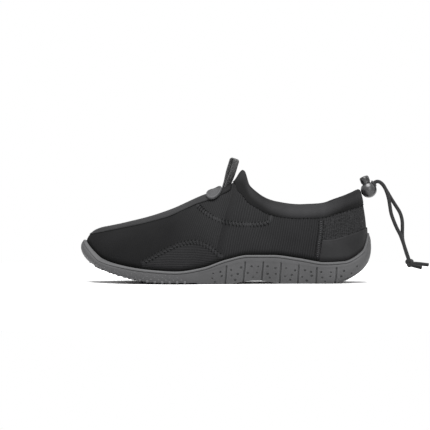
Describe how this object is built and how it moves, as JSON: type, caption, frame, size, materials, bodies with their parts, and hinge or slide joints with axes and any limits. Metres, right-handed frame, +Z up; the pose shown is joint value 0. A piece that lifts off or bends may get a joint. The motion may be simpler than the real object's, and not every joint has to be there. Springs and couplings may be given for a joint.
{
  "type": "water shoe",
  "caption": "Slip-on water shoe with a stretch upper, padded collar, moulded rubber cup sole and a drawcord with a cord lock at the heel.",
  "frame": {"origin": "on the floor plane, in the middle of the flat tread under the heel", "axes": "+Z up, +X towards the back of the heel, so the toe points to -X; -Y towards the outer (lateral) side of this left shoe"},
  "size_m": [0.3443, 0.101, 0.1235],
  "materials": {
    "rubber": "matt",
    "foam": "matt",
    "neoprene": "matt",
    "binding": "satin",
    "mesh_panel": "matt",
    "webbing": "matt",
    "plastic": "satin",
    "cord": "matt"
  },
  "bodies": {
    "shoe": {"outsole": "rubber", "insole": "foam", "upper": "neoprene", "collar_binding": "binding", "vamp_panel": "mesh_panel", "heel_counter": "neoprene", "badge": "rubber", "pull_loop": "webbing", "cord_lock": "plastic", "cord_strand_a": "cord", "cord_strand_b": "cord", "cord_knot": "cord", "cord_tail_a": "cord", "cord_tail_b": "cord"},
    "plunger": {"lock_button": "plastic"}
  },
  "joints": [
    {"name": "plunger_press", "type": "slide", "parent": "shoe", "child": "plunger", "axis": [0.3746, 0, -0.9272], "range_m": [0, 0.003], "stiffness_N_per_m": 200, "springref_m": -0.004}
  ]
}
